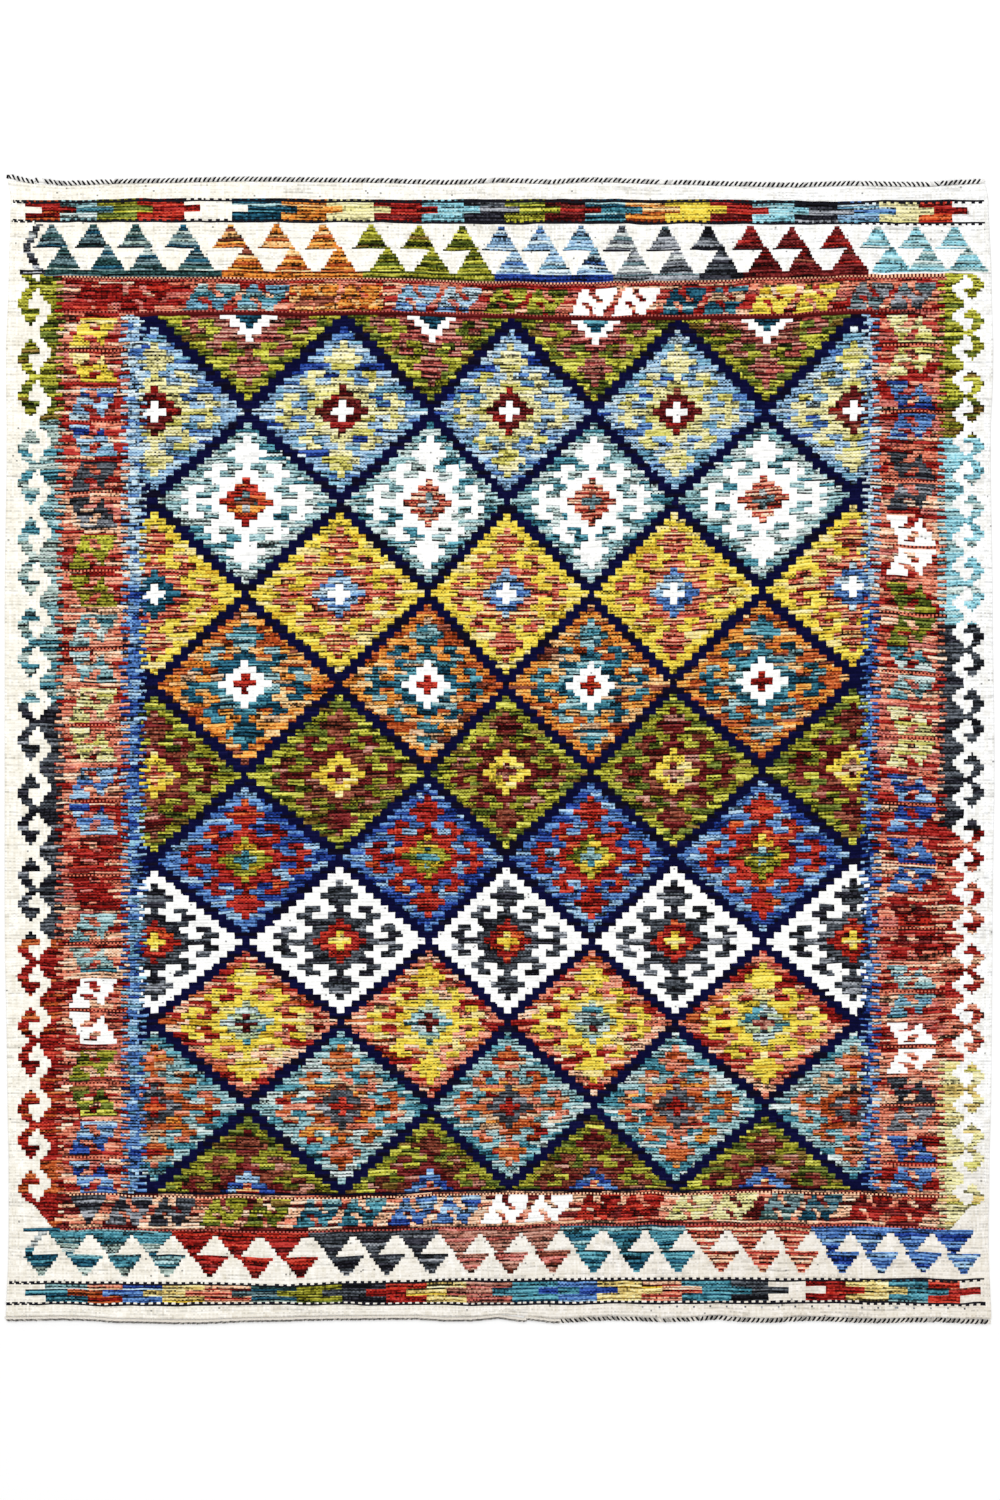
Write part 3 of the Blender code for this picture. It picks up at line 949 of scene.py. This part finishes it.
def mesh_from_grid(name, points, colours, weave_x, weave_y):
    """A sheet of cells. Colours are one for each cell; weave_x and weave_y number the corners."""
    rows, columns = points.shape[0] - 1, points.shape[1] - 1
    data = bpy.data.meshes.new(name)
    data.vertices.add(points.shape[0] * points.shape[1])
    data.vertices.foreach_set("co", points.reshape(-1).astype(np.float32))
    j, i = np.meshgrid(np.arange(rows), np.arange(columns), indexing="ij")
    first = j * (columns + 1) + i
    corners = np.stack((first, first + columns + 1, first + columns + 2, first + 1), axis=-1)
    sides = corners.shape[-1]
    corners = corners.reshape(-1)
    data.loops.add(len(corners))
    data.polygons.add(rows * columns)
    data.loops.foreach_set("vertex_index", corners.astype(np.int32))
    data.polygons.foreach_set("loop_start", np.arange(rows * columns, dtype=np.int32) * sides)
    data.polygons.foreach_set("use_smooth", np.ones(rows * columns, dtype=bool))
    yarn = data.color_attributes.new("yarn", "FLOAT_COLOR", "CORNER")
    shown = np.repeat(colours.reshape(-1, 4), sides, axis=0)
    yarn.data.foreach_set("color", shown.reshape(-1).astype(np.float32))
    share_x, share_y = np.linspace(0, 1, columns + 1), np.linspace(1, 0, rows + 1)
    for layer_name, across, down in (("OFBake", share_x, share_y), ("weave", weave_x, weave_y)):
        places = np.stack(np.meshgrid(across, down), axis=-1).reshape(-1, 2)
        layer = data.uv_layers.new(name=layer_name)
        layer.data.foreach_set("uv", places[corners].reshape(-1).astype(np.float32))
    data.update(calc_edges=True)
    data.validate()
    return link(name, data)


def linear(srgb):
    """Colours as numbers from 0 to 255 in sRGB, made linear from 0 to 1."""
    share = np.asarray(srgb, dtype=float) / 255
    return np.where(share <= 0.04045, share / 12.92, ((share + 0.055) / 1.055) ** 2.4)


def grid_normals(points):
    normal = np.cross(np.gradient(points, axis=0), np.gradient(points, axis=1))
    return normal / np.maximum(np.linalg.norm(normal, axis=-1, keepdims=True), 1e-12)


def make_cloth(material):
    """The cloth's upper face in strips, and its underside as one sheet."""
    weave()
    rgb, play = tones()
    colours = np.concatenate((linear(rgb), play[..., None]), axis=-1)
    colours = np.pad(colours, ((1, 1), (1, 1), (0, 0)), mode="edge")
    points = with_rim(np.stack((*cloth_points(), cloth_relief()), axis=-1))
    normals = grid_normals(points)
    columns = np.arange(-1, points.shape[1] - 1)
    rows = np.arange(-1, points.shape[0] - 1)
    cuts = np.linspace(0, points.shape[0] - 1, STRIPS + 1).astype(int)
    strips = []
    for number, (low, high) in enumerate(zip(cuts, cuts[1:])):
        mine = slice(low, high + 1)
        strip = mesh_from_grid(
            f"cloth_face_{number + 1}", points[mine], colours[low:high], columns, rows[mine]
        )
        strip.data.normals_split_custom_set_from_vertices(normals[mine].reshape(-1, 3))
        strip.data.materials.append(material)
        strips.append(strip)

    j = np.round(np.linspace(1, points.shape[0] - 2, UNDER_ROWS + 1)).astype(int)
    i = np.round(np.linspace(1, points.shape[1] - 2, UNDER_COLUMNS + 1)).astype(int)
    under = points[j][:, i].copy()
    under[..., 2] = EDGE_HEIGHT * (chance(j[:, None], i[None, :], 61) * 0.5 + 0.1)
    shown = colours[np.minimum(j[:-1] + 1, colours.shape[0] - 1)]
    shown = shown[:, np.minimum(i[:-1] + 1, colours.shape[1] - 1)]
    sheet = mesh_from_grid("cloth_underside", under, shown, i - 1.0, j - 1.0)
    sheet.data.flip_normals()
    sheet.data.materials.append(material)
    return strips, sheet


# ---------------------------------------------------------------- Materials
class Finish:
    """A material under way, with short names for the steps that make it."""

    def __init__(self, name):
        self.material = bpy.data.materials.new(name)
        self.material.use_nodes = True
        self.tree = self.material.node_tree
        self.shader = self.tree.nodes["Principled BSDF"]

    def plug(self, socket, value):
        if isinstance(value, bpy.types.NodeSocket):
            self.tree.links.new(value, socket)
        else:
            socket.default_value = value

    def node(self, kind, **inputs):
        """Adds a node. An input goes by its name, or by its number after an underscore."""
        made = self.tree.nodes.new("ShaderNode" + kind)
        for name, value in inputs.items():
            self.plug(made.inputs[int(name[1:]) if name[0] == "_" else name], value)
        return made

    def maths(self, operation, first, second=0.5, third=0.5):
        made = self.node("Math", _0=first, _1=second, _2=third)
        made.operation = operation
        return made.outputs[0]

    def times(self, first, second):
        return self.maths("MULTIPLY", first, second)

    def mixed(self, kind, factor, first, second):
        made = self.node("Mix")
        made.data_type = "RGBA"
        made.blend_type = kind
        for number, value in ((0, factor), (6, first), (7, second)):
            self.plug(made.inputs[number], value)
        return made.outputs[2]

    def yarn(self):
        made = self.node("Attribute")
        made.attribute_name = "yarn"
        return made.outputs["Color"], made.outputs["Alpha"]

    def noise(self, x, y, detail):
        place = self.node("CombineXYZ", X=x, Y=y, Z=0.0)
        return self.node("TexNoise", Vector=place.outputs[0], Scale=1.0, Detail=detail).outputs[0]

    def tinted(self, factor, colour, noise, low, high):
        """The colour, made darker and lighter by noise."""
        start, stop = NOISE_RANGE
        tint = self.node("MapRange", Value=noise, _1=start, _2=stop, _3=low, _4=high).outputs[0]
        grey = self.node("CombineColor", Red=tint, Green=tint, Blue=tint)
        return self.mixed("MULTIPLY", factor, colour, grey.outputs[0])

    def surface(self, colour, height, strength, depth):
        self.plug(self.shader.inputs["Base Color"], colour)
        bump = self.node("Bump", Strength=strength, Distance=depth, Height=height)
        self.plug(self.shader.inputs["Normal"], bump.outputs[0])

    def values(self, values):
        for name, value in values.items():
            self.shader.inputs[name].default_value = value
        return self.material


NOISE_RANGE = (0.3, 0.7)
# Tint of the painted shade in the creases
CREASE_SHADE_TINT = (0.20, 0.18, 0.22, 1.0)
# Painted shade in the creases between ribs, two picks each, and fainter shade in creases within
# them:
# ribs in a pick, a number that sets them apart, from which noise they are dark, how narrow and wide
# they are, and how deep
CREASE_SHADES = ((0.5, 7.31, 0.34, 0.15, 0.18, 0.85), (1.0, 3.77, 0.50, 0.12, 0.20, 0.75))
CREASE_SOFTNESS, CREASE_FAINTEST = 0.16, 0.15
# Scales of the noises, across and along: of drifting picks, of dark stretches and of fibres
DRIFT_SCALE, STRETCH_SCALE, FIBRE_SCALE = (0.16, 0.2), 0.085, (0.9, 3.3)
PICK_WEAVE, PICK_DRIFT = 0.10, 1.1
PICK_ROUND, FUZZ = -0.35, 0.8
WOOL_TINT, WOOL_BUMP, WOOL_DEPTH = (0.84, 1.14), 0.45, 0.5 * MM
WOOL = {"Roughness": 0.92, "Specular IOR Level": 0.06, "Sheen Weight": 0.03, "Sheen Roughness": 0.5}
BOUND_TINT, BOUND_BUMP, BOUND_DEPTH, BOUND_FIBRES = (0.75, 1.1), 0.3, 0.3 * MM, 900.0
BOUND = {"Roughness": 0.9, "Specular IOR Level": 0.15}


def woven_wool():
    """Wool yarn in its own colours, with painted shade in the creases between picks, heathering and
    fuzz.
    """
    wool = Finish("woven_wool")
    maths, times = wool.maths, wool.times
    colour, play = wool.yarn()
    place = wool.node("UVMap")
    place.uv_map = "weave"
    u, v = wool.node("SeparateXYZ", Vector=place.outputs[0]).outputs[:2]

    wave = maths("SINE", times(u, math.pi))
    drift = wool.noise(times(u, DRIFT_SCALE[0]), times(v, DRIFT_SCALE[1]), 1.0)
    bent = maths("MULTIPLY_ADD", wave, PICK_WEAVE, v)
    bent = maths("MULTIPLY_ADD", maths("SUBTRACT", drift, 0.5), PICK_DRIFT, bent)
    # Painted shade in each crease: the yarn darkened by its own colour and by the tint
    for ribs, key, gate, narrow, wide, deep in CREASE_SHADES:
        rib = times(bent, ribs)
        line = maths("ROUND", rib)
        away = maths("ABSOLUTE", maths("SUBTRACT", rib, line))
        gap = wool.noise(times(u, STRETCH_SCALE), times(line, key), 1.0)
        depth = wool.node("MapRange", Value=gap, _1=gate, _2=gate + CREASE_SOFTNESS).outputs[0]
        ratio = maths("DIVIDE", away, maths("MULTIPLY_ADD", depth, wide, narrow))
        crease_shade = maths("SUBTRACT", 1.0, maths("MINIMUM", ratio, 1.0))
        crease_shade = times(crease_shade, maths("MULTIPLY_ADD", depth, deep, CREASE_FAINTEST))
        crease_shade = times(crease_shade, play)
        shade = wool.mixed("MULTIPLY", 1.0, colour, CREASE_SHADE_TINT)
        shade = wool.mixed("MULTIPLY", 1.0, colour, shade)
        colour = wool.mixed("MIX", crease_shade, colour, shade)

    # Heathering: paler and darker fibres along each pick
    heather = wool.noise(times(u, FIBRE_SCALE[0]), times(v, FIBRE_SCALE[1]), 3.0)
    colour = wool.tinted(play, colour, heather, *WOOL_TINT)

    # Relief: each pick is round where it passes over a warp, and the yarn is fuzzy
    ridge = maths("ABSOLUTE", maths("SINE", times(u, math.pi / 2)))
    round_pick = maths("COSINE", times(bent, math.pi))
    bead = maths("MULTIPLY_ADD", round_pick, PICK_ROUND, ridge)
    fuzz = maths("MULTIPLY_ADD", heather, FUZZ, bead)
    wool.surface(colour, fuzz, WOOL_BUMP, WOOL_DEPTH)
    return wool.values(WOOL)


def binding_yarn():
    """Yarn of the bindings, dark or undyed by turns, with its fibres along the wraps."""
    bound = Finish("wrapped_yarn")
    colour, _ = bound.yarn()
    place = bound.node("TexCoord").outputs["Object"]
    fibres = bound.node("TexNoise", Vector=place, Scale=BOUND_FIBRES, Detail=3.0).outputs[0]
    colour = bound.tinted(1.0, colour, fibres, *BOUND_TINT)
    bound.surface(colour, fibres, BOUND_BUMP, BOUND_DEPTH)
    return bound.values(BOUND)


# ---------------------------------------------------------------- End bindings
BLACK, ASH, GREY = (8, 8, 14), (76, 74, 72), (150, 146, 139)
WHITE, PALE, CREAM = (252, 251, 248), (196, 192, 185), (236, 230, 220)
# Up to each place across the chart: which way the turns lean, the two yarns of the turns, the
# yarn inside the bundle, and how much of each turn is in that yarn
TOP_TURNS = tuple((stop, lean, BLACK, WHITE, WHITE, 0)
                  for stop, lean in ((112, -1), (860, 1), (940, -1), (1010, 1)))
BOTTOM_TURNS = (
    (90, -1, ASH, GREY, CREAM, 3), (560, 1, ASH, GREY, CREAM, 3), (700, -1, BLACK, PALE, CREAM, 1),
    (1010, 1, BLACK, PALE, CREAM, 0),
)
DARK_SHARE = 0.96
BINDING_HEIGHT = 4.4 * MM
BINDING_WIDTH = 8.4 * MM
CORE_INSET, CORE_DROP, CORE_FOOT, CORE_END = 1.3 * MM, 1.2 * MM, 0.3 * MM, 1 * MM
CORE_RINGS = 300
CORE_SIDES = 8
WRAP_PITCH = 3.60 * MM
WRAP_SLANT = 2.6 * MM
WRAP_START, WRAP_SPARE = 2.2 * MM, 3 * MM
WRAP_JITTER = 0.8 * MM
WRAP_FOOT = 0.15 * MM
WRAP_SIDES = 5
WRAP_STEPS = 6
WRAP_KEYS = (71, 73, 75, 77, 79)
DARK_YARN, LIGHT_YARN = 1.80 * MM, 1.75 * MM
YARN_FLATNESS = 0.7
YARN_INSET = 0.9


def binding_line(node_name):
    """The middle line of a binding, read from its solid."""
    points = solid_points(node_name)
    stations = np.unique(np.round(points[:, 0], 4))
    middle = []
    for station in stations:
        here = points[np.abs(points[:, 0] - station) < 0.5 * MM]
        middle.append((here[:, 1].min() + here[:, 1].max()) / 2)
    return stations, np.array(middle)


def add_tube(mesh, rings, shown, cap, outward):
    """Adds a tube through rings of corners, with a colour for each stretch and for its caps."""
    verts, faces, colours = mesh
    first, sides = len(verts), len(rings[0])
    for ring in rings:
        verts += ring
    for n, tone in enumerate(shown):
        for k in range(sides):
            a = first + n * sides + k
            b = first + n * sides + (k + 1) % sides
            faces.append((a, b, b + sides, a + sides) if outward else (a, a + sides, b + sides, b))
            colours.append(tone)
    for end in (0, len(shown)):
        ring = [first + end * sides + k for k in range(sides)]
        faces.append(tuple(ring if (end == 0) != outward else reversed(ring)))
        colours.append(cap)


def make_binding(name, node_name, material, turns):
    stations, middle = binding_line(node_name)
    mesh = verts, faces, colours = [], [], []

    # The bundle of warp ends
    half = BINDING_WIDTH / 2 - CORE_INSET
    rise = BINDING_HEIGHT - CORE_DROP - CORE_FOOT
    xs = np.linspace(stations[0] + CORE_END, stations[-1] - CORE_END, CORE_RINGS)
    angles = [math.pi * k / (CORE_SIDES - 1) for k in range(CORE_SIDES)]
    rings = [[(x, y + half * math.cos(angle), CORE_FOOT + rise * math.sin(angle))
              for angle in angles] for x, y in zip(xs, np.interp(xs, stations, middle))]
    light = turns[-1][4]
    add_tube(mesh, rings, [light] * (CORE_RINGS - 1), light, False)

    # The turns of yarn over it
    for turn in range(int((stations[-1] - stations[0] - WRAP_SPARE) / WRAP_PITCH)):
        luck = [float(chance(turn, key)) for key in WRAP_KEYS]
        jitter = (luck[0] - 0.5) * WRAP_JITTER
        x = stations[0] + WRAP_START + turn * WRAP_PITCH + jitter * 0.5
        y = float(np.interp(x, stations, middle)) + jitter
        look = next(look for look in turns if x < chart_to_world(look[0], 0)[0])
        lean, dark, between, light, light_steps = look[1:]
        slant = lean * WRAP_SLANT * (0.6 + 0.6 * luck[1])
        is_dark = turn % 2 == 0 and luck[2] < DARK_SHARE
        thick = (DARK_YARN if is_dark else LIGHT_YARN) * (0.85 + 0.3 * luck[3])
        tone = np.array(dark if is_dark else between) * (0.75 + 0.5 * luck[4])
        tone = np.minimum(tone, light)
        half = BINDING_WIDTH / 2 - thick * YARN_INSET
        height = BINDING_HEIGHT - thick * YARN_FLATNESS
        rings = []
        for step in range(WRAP_STEPS + 1):
            angle = math.pi * step / WRAP_STEPS
            across, up = math.cos(angle), math.sin(angle)
            cx = x + slant * across
            cy = y + half * across + float(np.interp(cx, stations, middle)) - y + jitter
            cz = max(0.0, height * up)
            ring = []
            for side in range(WRAP_SIDES):
                way = 2 * math.pi * side / WRAP_SIDES
                out = math.cos(way) * thick * YARN_FLATNESS
                ring.append((cx + math.sin(way) * thick, cy + out * across,
                             max(WRAP_FOOT, cz + out * up)))
            rings.append(ring)
        shown = [light if step < light_steps else tone for step in range(WRAP_STEPS)]
        add_tube(mesh, rings, shown, tone, True)

    data = bpy.data.meshes.new(name)
    data.from_pydata(verts, [], faces)
    yarn = data.color_attributes.new("yarn", "FLOAT_COLOR", "CORNER")
    values = []
    for face, tone in zip(data.polygons, colours):
        values += [*linear(tone), 1.0] * face.loop_total
    yarn.data.foreach_set("color", values)
    data.polygons.foreach_set("use_smooth", [True] * len(data.polygons))
    data.materials.append(material)
    return link(name, data)


# ---------------------------------------------------------------- Floor, light and camera
FLOOR_SIZE = 14.0
FLOOR = {"Base Color": (0.93, 0.93, 0.93, 1.0), "Roughness": 0.9, "Specular IOR Level": 0.1}
SKY = {"Color": (1.0, 1.0, 1.0, 1.0), "Strength": 0.80}
# Square lamps that face the rug's middle: name, place, size and power
LAMPS = (("key_light", (-1.6, 4.2, 4.6), 2.0, 126.0), ("fill_light", (1.8, -2.5, 4.5), 3.0, 45.0))
FRAME_WIDTH, FRAME_HEIGHT = 1000, 1500
LENS = 85.0
SENSOR = 36.0


def make_light(name, place, size, power):
    data = bpy.data.lights.new(name, "AREA")
    data.shape = "SQUARE"
    data.size = size
    data.energy = power
    lamp = link(name, data)
    lamp.location = place
    lamp.rotation_mode = "QUATERNION"
    lamp.rotation_quaternion = (-Vector(place)).to_track_quat("-Z", "Y")


def make_stage():
    bpy.ops.mesh.primitive_plane_add(size=FLOOR_SIZE, location=(0, 0, 0))
    floor = bpy.context.object
    floor.name = "floor"
    floor.data.materials.append(Finish("floor_paint").values(FLOOR))
    world = bpy.data.worlds.new("studio")
    world.use_nodes = True
    for name, value in SKY.items():
        world.node_tree.nodes["Background"].inputs[name].default_value = value
    bpy.context.scene.world = world
    for lamp in LAMPS:
        make_light(*lamp)
    bpy.context.scene.view_settings.view_transform = "Standard"


def make_camera():
    data = bpy.data.cameras.new("camera")
    data.lens = LENS
    data.sensor_width = SENSOR
    camera = link("camera", data)
    x, y = chart_to_world(FRAME_WIDTH / 2, FRAME_HEIGHT / 2)
    camera.location = (x, y, FRAME_HEIGHT * UNIT * LENS / SENSOR)
    bpy.context.scene.camera = camera


make_camera()
make_stage()
wool = woven_wool()
strips, underside = make_cloth(wool)
bound = binding_yarn()
top = make_binding("top_binding_yarn", "end_binding_top", bound, TOP_TURNS)
bottom = make_binding("bottom_binding_yarn", "end_binding_bottom", bound, BOTTOM_TURNS)

for strip in strips:
    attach(strip, "root")
    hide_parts("kilim_cloth")
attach(underside, "root")
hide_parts("kilim_cloth")
for binding, replaced in ((top, "end_binding_top"), (bottom, "end_binding_bottom")):
    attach(binding, "root")
    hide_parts(replaced)
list(strips)
